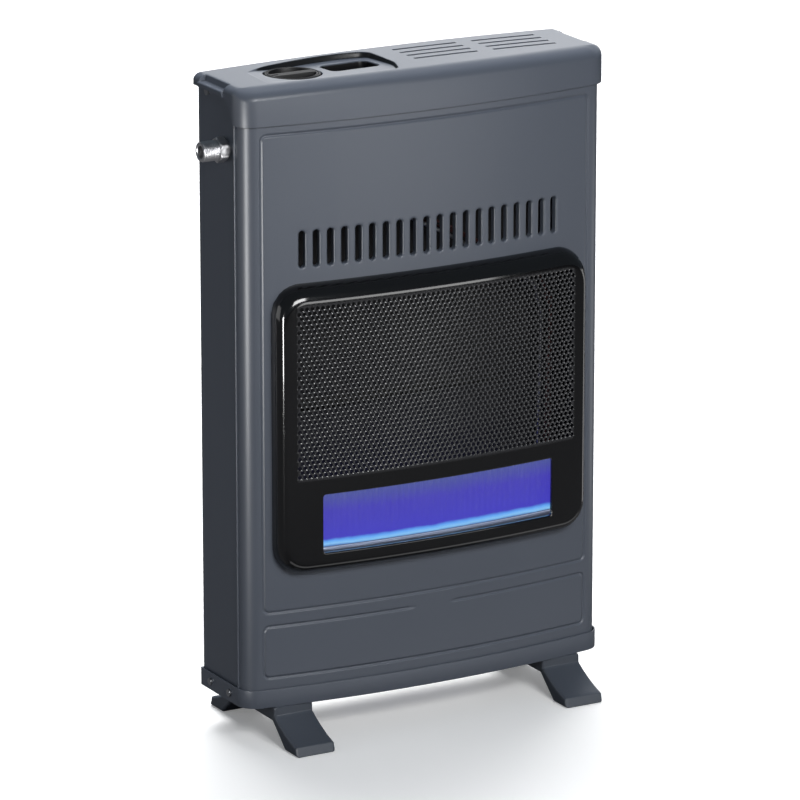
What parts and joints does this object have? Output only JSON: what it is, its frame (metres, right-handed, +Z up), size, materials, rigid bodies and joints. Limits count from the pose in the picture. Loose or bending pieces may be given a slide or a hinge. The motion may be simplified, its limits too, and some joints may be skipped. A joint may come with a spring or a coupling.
{
  "type": "gas heater",
  "caption": "Slim free-standing gas heater with a bowed front, a flame window in a black grille, lid louvres, a push-and-turn gas knob, an igniter button and arched feet.",
  "frame": {"origin": "on the floor, under the middle of the whole object's box", "axes": "+Z up, the front faces -Y, +X to the right of someone facing the front"},
  "size_m": [0.457, 0.195, 0.6944],
  "materials": {
    "casing_paint": "satin anthracite paint",
    "foot_plastic": "moulded, satin",
    "grille_enamel": "gloss black enamel",
    "window_glass": "clear ceramic glass",
    "knob_plastic": "moulded, satin",
    "screw_steel": "blackened zinc",
    "inner_sheet": "aluminised sheet",
    "burner_steel": "stainless",
    "valve_casting": "die cast",
    "fitting_brass": "turned",
    "inlet_nickel": "nickel plated",
    "pipe_aluminium": "drawn tube",
    "electrode_ceramic": "glazed ceramic",
    "lead_sleeve": "silicone sleeve"
  },
  "bodies": {
    "casing": {"base_tray": "casing_paint", "left_foot": "foot_plastic", "right_foot": "foot_plastic", "foot_screws": "screw_steel", "left_side_panel": "casing_paint", "right_side_panel": "casing_paint", "left_base_screws": "screw_steel", "right_base_screws": "screw_steel", "back_panel": "casing_paint", "back_screws": "screw_steel", "front_panel": "casing_paint", "front_grille": "grille_enamel", "window_glass": "window_glass", "left_glass_clip": "inner_sheet", "right_glass_clip": "inner_sheet", "top_cover": "casing_paint", "left_cover_screw": "screw_steel", "right_cover_screw": "screw_steel", "heat_shield": "inner_sheet", "flame_reflector": "inner_sheet", "top_deflector": "inner_sheet", "burner_tube": "burner_steel", "left_burner_bracket": "inner_sheet", "right_burner_bracket": "inner_sheet", "injector_bracket": "inner_sheet", "gas_injector": "fitting_brass", "control_plate": "inner_sheet", "gas_valve": "valve_casting", "valve_bonnet": "valve_casting", "bonnet_nut": "burner_steel", "knob_spring": "burner_steel", "igniter_body": "knob_plastic", "igniter_nut": "burner_steel", "inlet_union": "inlet_nickel", "inlet_locknut": "burner_steel", "inlet_pipe": "pipe_aluminium", "burner_pipe": "pipe_aluminium", "pilot_bracket": "inner_sheet", "pilot_burner": "fitting_brass", "thermocouple": "burner_steel", "spark_electrode": "electrode_ceramic", "pilot_pipe": "pipe_aluminium", "thermocouple_lead": "pipe_aluminium", "ignition_lead": "lead_sleeve"},
    "tap": {"valve_plug": "fitting_brass"},
    "knob": {"valve_spindle": "burner_steel", "control_knob": "knob_plastic"},
    "button": {"igniter_button": "knob_plastic"}
  },
  "joints": [
    {"name": "tap_turn", "type": "hinge", "parent": "casing", "child": "tap", "pos_m": [-0.1155, 0.01, 0.63], "axis": [0, 0, 1], "range_deg": [0, 210]},
    {"name": "knob_press", "type": "slide", "parent": "tap", "child": "knob", "axis": [0, 0, -1], "range_m": [0, 0.005], "stiffness_N_per_m": 2000, "springref_m": -0.002, "deforming": ["knob_spring"]},
    {"name": "igniter_press", "type": "slide", "parent": "casing", "child": "button", "axis": [0, 0, -1], "range_m": [0, 0.006], "stiffness_N_per_m": 1500, "springref_m": -0.002}
  ]
}
